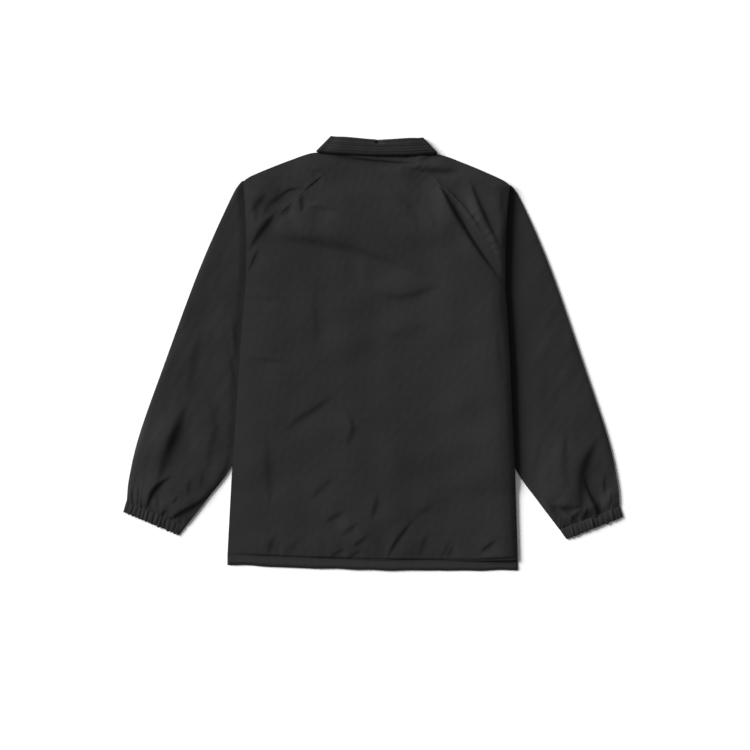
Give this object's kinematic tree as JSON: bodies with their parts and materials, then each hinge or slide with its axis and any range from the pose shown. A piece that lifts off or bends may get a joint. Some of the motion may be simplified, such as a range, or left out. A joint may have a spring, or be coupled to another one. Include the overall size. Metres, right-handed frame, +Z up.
{
  "type": "coach jacket",
  "caption": "Black nylon jacket laid flat and face down, raglan sleeves tucked in a pleat beside the body, folded collar, gathered cuffs and a hem band.",
  "frame": {"origin": "on the table, under the middle of the jacket's outline", "axes": "+Z up from the table, out of the jacket's back; +Y from hem to neck; +X to the wearer's right"},
  "size_m": [0.8758, 0.7496, 0.0096],
  "materials": {
    "shell": "soft satin nylon",
    "snap": "satin"
  },
  "bodies": {
    "root": {"back": "shell", "front_left": "shell", "front_right": "shell", "sleeve_left": "shell", "sleeve_right": "shell", "cuff_left": "shell", "cuff_right": "shell", "collar": "shell", "hem_back": "shell", "hem_front_left": "shell", "hem_front_right": "shell", "snap_1": "snap", "snap_2": "snap", "snap_3": "snap", "snap_4": "snap", "snap_5": "snap"}
  },
  "joints": []
}
